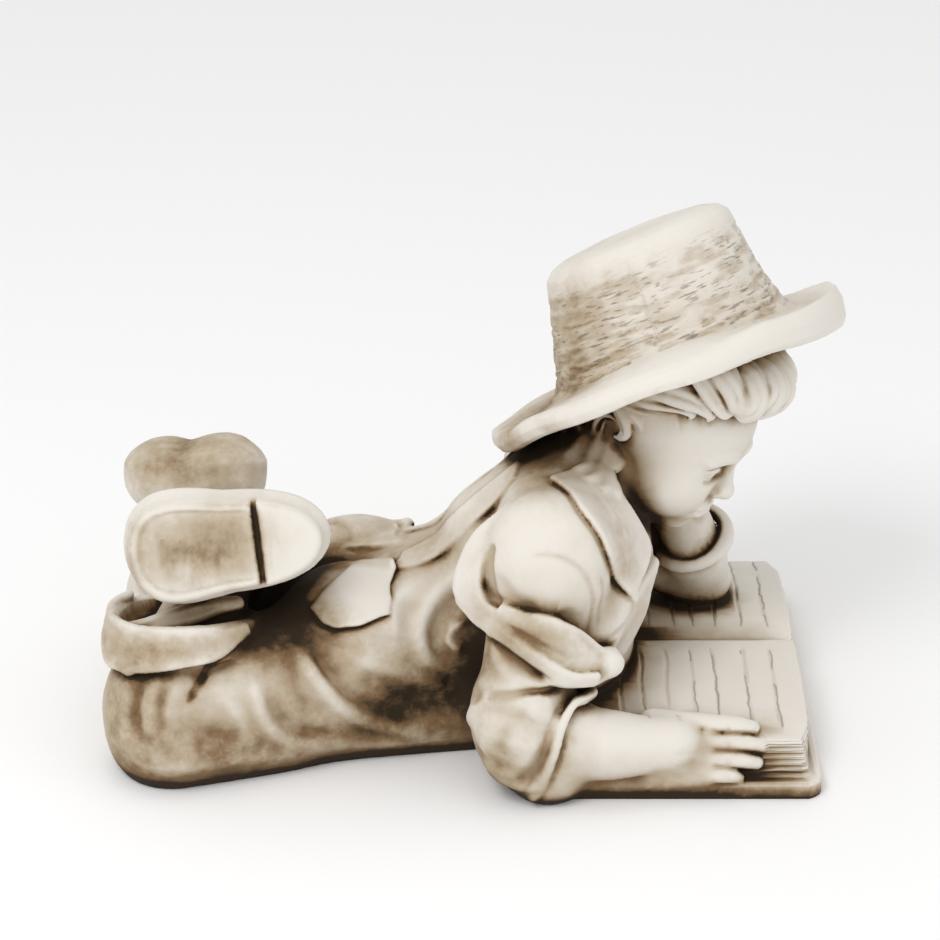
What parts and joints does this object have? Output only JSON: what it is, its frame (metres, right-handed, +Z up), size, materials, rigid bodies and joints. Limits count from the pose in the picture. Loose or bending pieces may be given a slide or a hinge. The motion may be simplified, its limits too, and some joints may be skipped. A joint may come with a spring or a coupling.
{
  "type": "reading boy garden statue",
  "caption": "Cast stone garden statue of a boy in a hat who lies on his front, chin in hand, and reads an open book.",
  "frame": {"origin": "on the ground, under the middle of the casting's bounding box", "axes": "+X from the raised feet towards the open book, +Y to the figure's left, +Z up"},
  "size_m": [0.5933, 0.3548, 0.423],
  "materials": {
    "cast_stone": "cast stone, ivory highs with a dark brown wash in the hollows"
  },
  "bodies": {
    "root": {"reading_boy_statue": "cast_stone"}
  },
  "joints": []
}
